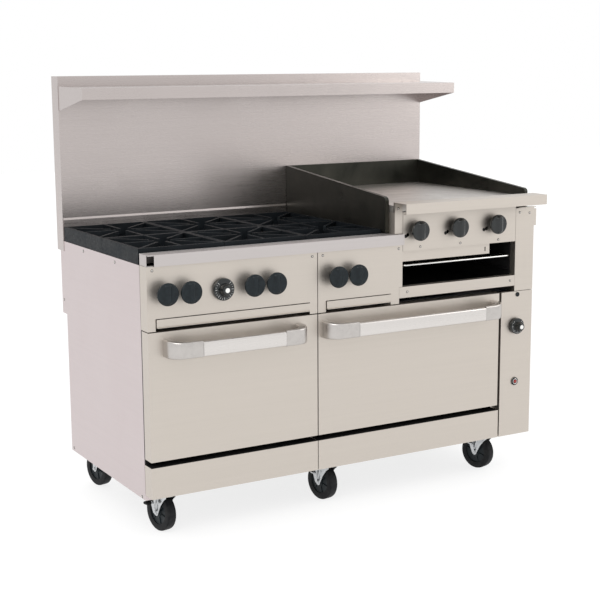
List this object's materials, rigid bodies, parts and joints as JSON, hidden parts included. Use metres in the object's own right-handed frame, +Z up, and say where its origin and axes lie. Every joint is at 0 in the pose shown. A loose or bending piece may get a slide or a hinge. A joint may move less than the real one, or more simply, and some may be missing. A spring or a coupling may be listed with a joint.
{
  "type": "commercial gas range",
  "caption": "Restaurant gas range with open burners, raised griddle and broiler, two drop-down door ovens, back riser with high shelf, and swivel casters.",
  "frame": {"origin": "centre of the bounding box at floor level, under the caster wheels", "axes": "+X to the range's right as seen by the cook, along its width; +Y from the front to the back riser; +Z up"},
  "size_m": [1.5362, 0.8542, 1.4671],
  "materials": {
    "stainless": "brushed stainless sheet",
    "guard_steel": "heat-darkened steel plate",
    "griddle_steel": "ground and polished steel plate",
    "cast_iron": "black cast iron, fine sand-cast grain",
    "chrome_wire": "bright chromed wire",
    "oven_enamel": "dark vitreous enamel",
    "black_steel": "black painted steel",
    "galvanised": "aluminised sheet",
    "handle_cast": "satin cast ends and polished grip",
    "knob_phenolic": "black moulded phenolic",
    "button_red": "red moulded button",
    "zinc_plate": "bright zinc plate",
    "wheel_rubber": "black polyurethane tread",
    "screw_steel": "stainless round heads"
  },
  "bodies": {
    "chassis": {"back_panel": "galvanised", "back_riser": "stainless", "base_frame": "black_steel", "broiler_box": "oven_enamel", "burner_support": "black_steel", "control_column": "stainless", "control_panel_left": "stainless", "control_panel_middle": "stainless", "gas_burners": "cast_iron", "gas_manifold": "black_steel", "griddle_cabinet": "stainless", "griddle_control_panel": "stainless", "griddle_guards": "guard_steel", "griddle_ledge": "stainless", "griddle_plate": "griddle_steel", "high_shelf": "stainless", "kick_panels": "stainless", "landing_ledge": "stainless", "oven_liner_left": "oven_enamel", "oven_liner_right": "oven_enamel", "screws": "screw_steel", "side_panel_left": "stainless", "side_panel_right": "stainless", "top_grates_front": "cast_iron", "top_grates_rear": "cast_iron"},
    "door_left": {"oven_door_left_skin": "stainless", "oven_door_left_liner": "oven_enamel", "oven_door_left_handle": "handle_cast"},
    "door_right": {"oven_door_right_skin": "stainless", "oven_door_right_liner": "oven_enamel", "oven_door_right_handle": "handle_cast"},
    "rack_left": {"oven_rack_left": "chrome_wire"},
    "rack_right": {"oven_rack_right": "chrome_wire"},
    "rack_broiler": {"broiler_rack": "chrome_wire"},
    "tray_left": {"crumb_tray_left": "stainless"},
    "tray_middle": {"crumb_tray_middle": "stainless"},
    "dial_left": {"thermostat_dial_left": "knob_phenolic"},
    "dial_right": {"thermostat_dial_right": "knob_phenolic"},
    "button": {"safety_button": "button_red"},
    "knob_1": {"burner_knob_1": "knob_phenolic"},
    "knob_2": {"burner_knob_2": "knob_phenolic"},
    "knob_3": {"burner_knob_3": "knob_phenolic"},
    "knob_4": {"burner_knob_4": "knob_phenolic"},
    "knob_5": {"burner_knob_5": "knob_phenolic"},
    "knob_6": {"burner_knob_6": "knob_phenolic"},
    "griddle_knob_1": {"griddle_knob_1": "knob_phenolic"},
    "griddle_knob_2": {"griddle_knob_2": "knob_phenolic"},
    "griddle_knob_3": {"griddle_knob_3": "knob_phenolic"},
    "fork_front_left": {"caster_fork_front_left": "zinc_plate"},
    "wheel_front_left": {"caster_wheel_front_left": "wheel_rubber"},
    "fork_front_middle": {"caster_fork_front_middle": "zinc_plate"},
    "wheel_front_middle": {"caster_wheel_front_middle": "wheel_rubber"},
    "fork_front_right": {"caster_fork_front_right": "zinc_plate"},
    "wheel_front_right": {"caster_wheel_front_right": "wheel_rubber"},
    "fork_rear_left": {"caster_fork_rear_left": "zinc_plate"},
    "wheel_rear_left": {"caster_wheel_rear_left": "wheel_rubber"},
    "fork_rear_middle": {"caster_fork_rear_middle": "zinc_plate"},
    "wheel_rear_middle": {"caster_wheel_rear_middle": "wheel_rubber"},
    "fork_rear_right": {"caster_fork_rear_right": "zinc_plate"},
    "wheel_rear_right": {"caster_wheel_rear_right": "wheel_rubber"}
  },
  "joints": [
    {"name": "door_left_hinge", "type": "hinge", "parent": "chassis", "child": "door_left", "pos_m": [-0.46126, -0.33439, 0.2794], "axis": [1, 0, 0], "range_deg": [0, 90], "stiffness_Nm_per_rad": 9, "springref_deg": -20.05},
    {"name": "rack_left_slide", "type": "slide", "parent": "chassis", "child": "rack_left", "axis": [0, -1, 0], "range_m": [0, 0.018]},
    {"name": "door_right_hinge", "type": "hinge", "parent": "chassis", "child": "door_right", "pos_m": [0.22454, -0.33439, 0.2794], "axis": [1, 0, 0], "range_deg": [0, 90], "stiffness_Nm_per_rad": 12, "springref_deg": -20.05},
    {"name": "rack_right_slide", "type": "slide", "parent": "chassis", "child": "rack_right", "axis": [0, -1, 0], "range_m": [0, 0.018]},
    {"name": "rack_broiler_slide", "type": "slide", "parent": "chassis", "child": "rack_broiler", "axis": [0, -1, 0], "range_m": [0, 0.4]},
    {"name": "tray_left_slide", "type": "slide", "parent": "chassis", "child": "tray_left", "axis": [0, -1, 0], "range_m": [0, 0.45]},
    {"name": "tray_middle_slide", "type": "slide", "parent": "chassis", "child": "tray_middle", "axis": [0, -1, 0], "range_m": [0, 0.45]},
    {"name": "knob_1_turn", "type": "hinge", "parent": "chassis", "child": "knob_1", "pos_m": [-0.71095, -0.37122, 0.80975], "axis": [0, -1, 0], "range_deg": [0, 90]},
    {"name": "knob_2_turn", "type": "hinge", "parent": "chassis", "child": "knob_2", "pos_m": [-0.63119, -0.37122, 0.80924], "axis": [0, -1, 0], "range_deg": [0, 90]},
    {"name": "knob_3_turn", "type": "hinge", "parent": "chassis", "child": "knob_3", "pos_m": [-0.40818, -0.37122, 0.81077], "axis": [0, -1, 0], "range_deg": [0, 90]},
    {"name": "knob_4_turn", "type": "hinge", "parent": "chassis", "child": "knob_4", "pos_m": [-0.32817, -0.37122, 0.81077], "axis": [0, -1, 0], "range_deg": [0, 90]},
    {"name": "knob_5_turn", "type": "hinge", "parent": "chassis", "child": "knob_5", "pos_m": [-0.09423, -0.37122, 0.81077], "axis": [0, -1, 0], "range_deg": [0, 90]},
    {"name": "knob_6_turn", "type": "hinge", "parent": "chassis", "child": "knob_6", "pos_m": [-0.01651, -0.37122, 0.81102], "axis": [0, -1, 0], "range_deg": [0, 90]},
    {"name": "griddle_knob_1_turn", "type": "hinge", "parent": "chassis", "child": "griddle_knob_1", "pos_m": [0.24028, -0.37122, 0.94082], "axis": [0, -1, 0], "range_deg": [0, 90]},
    {"name": "griddle_knob_2_turn", "type": "hinge", "parent": "chassis", "child": "griddle_knob_2", "pos_m": [0.40792, -0.37122, 0.94056], "axis": [0, -1, 0], "range_deg": [0, 90]},
    {"name": "griddle_knob_3_turn", "type": "hinge", "parent": "chassis", "child": "griddle_knob_3", "pos_m": [0.57506, -0.37122, 0.94107], "axis": [0, -1, 0], "range_deg": [0, 90]},
    {"name": "dial_left_turn", "type": "hinge", "parent": "chassis", "child": "dial_left", "pos_m": [-0.50648, -0.37122, 0.80391], "axis": [0, -1, 0], "range_deg": [0, 270]},
    {"name": "dial_right_turn", "type": "hinge", "parent": "chassis", "child": "dial_right", "pos_m": [0.68301, -0.37122, 0.56032], "axis": [0, -1, 0], "range_deg": [0, 270]},
    {"name": "button_push", "type": "slide", "parent": "chassis", "child": "button", "axis": [0, 1, 0], "range_m": [0, 0.004], "stiffness_N_per_m": 300},
    {"name": "swivel_front_left", "type": "hinge", "parent": "chassis", "child": "fork_front_left", "pos_m": [-0.67716, -0.27089, 0.13462], "axis": [0, 0, 1], "continuous": true},
    {"name": "roll_front_left", "type": "hinge", "parent": "fork_front_left", "child": "wheel_front_left", "pos_m": [-0.68346, -0.23848, 0.0635], "axis": [0.9816, 0.1908, 0], "continuous": true},
    {"name": "swivel_front_middle", "type": "hinge", "parent": "chassis", "child": "fork_front_middle", "pos_m": [-0.06121, -0.27089, 0.13462], "axis": [0, 0, 1], "continuous": true},
    {"name": "roll_front_middle", "type": "hinge", "parent": "fork_front_middle", "child": "wheel_front_middle", "pos_m": [-0.06695, -0.23837, 0.0635], "axis": [0.9848, 0.1736, 0], "continuous": true},
    {"name": "swivel_front_right", "type": "hinge", "parent": "chassis", "child": "fork_front_right", "pos_m": [0.63094, -0.26073, 0.13462], "axis": [0, 0, 1], "continuous": true},
    {"name": "roll_front_right", "type": "hinge", "parent": "fork_front_right", "child": "wheel_front_right", "pos_m": [0.62239, -0.22884, 0.0635], "axis": [0.9659, 0.2588, 0], "continuous": true},
    {"name": "swivel_rear_left", "type": "hinge", "parent": "chassis", "child": "fork_rear_left", "pos_m": [-0.67462, 0.28156, 0.13462], "axis": [0, 0, 1], "continuous": true},
    {"name": "roll_rear_left", "type": "hinge", "parent": "fork_rear_left", "child": "wheel_rear_left", "pos_m": [-0.68149, 0.31386, 0.0635], "axis": [0.9781, 0.2079, 0], "continuous": true},
    {"name": "swivel_rear_middle", "type": "hinge", "parent": "chassis", "child": "fork_rear_middle", "pos_m": [-0.06121, 0.28156, 0.13462], "axis": [0, 0, 1], "continuous": true},
    {"name": "roll_rear_middle", "type": "hinge", "parent": "fork_rear_middle", "child": "wheel_rear_middle", "pos_m": [-0.05949, 0.31453, 0.0635], "axis": [0.9986, -0.0523, 0], "continuous": true},
    {"name": "swivel_rear_right", "type": "hinge", "parent": "chassis", "child": "fork_rear_right", "pos_m": [0.63094, 0.28156, 0.13462], "axis": [0, 0, 1], "continuous": true},
    {"name": "roll_rear_right", "type": "hinge", "parent": "fork_rear_right", "child": "wheel_rear_right", "pos_m": [0.63439, 0.3144, 0.0635], "axis": [0.9945, -0.1045, 0], "continuous": true}
  ]
}
